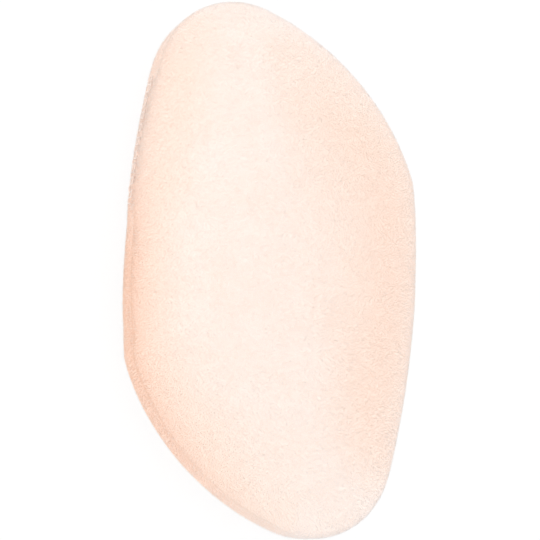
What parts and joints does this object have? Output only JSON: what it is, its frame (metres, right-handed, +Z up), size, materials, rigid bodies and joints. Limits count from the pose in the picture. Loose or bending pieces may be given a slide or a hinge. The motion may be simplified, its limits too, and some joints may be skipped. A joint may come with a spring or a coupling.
{
  "type": "makeup sponge",
  "caption": "Soft hand-held makeup sponge: a foam core in a sewn velour cover with a slanted, rounded outline, crowned on both faces, that gives when it is pressed.",
  "frame": {"origin": "middle of the flat patch that the sponge rests on, under the middle of its outline", "axes": "+Z up through the thickness towards the front panel's crown, +Y along the sponge towards the tip that leans to -X, +X across it"},
  "size_m": [0.0436, 0.0798, 0.0258],
  "materials": {
    "velour": "matte",
    "foam": "matte",
    "thread": "satin"
  },
  "bodies": {
    "back": {"back_cover": "velour", "foam_core": "foam", "seam_needle_thread": "thread", "seam_bobbin_thread": "thread", "closing_thread": "thread"},
    "front": {"front_cover": "velour"}
  },
  "joints": [
    {"name": "squeeze", "type": "slide", "parent": "back", "child": "front", "axis": [0, 0, -1], "range_m": [0, 0.008], "stiffness_N_per_m": 400, "deforming": ["front_cover", "foam_core"]}
  ]
}
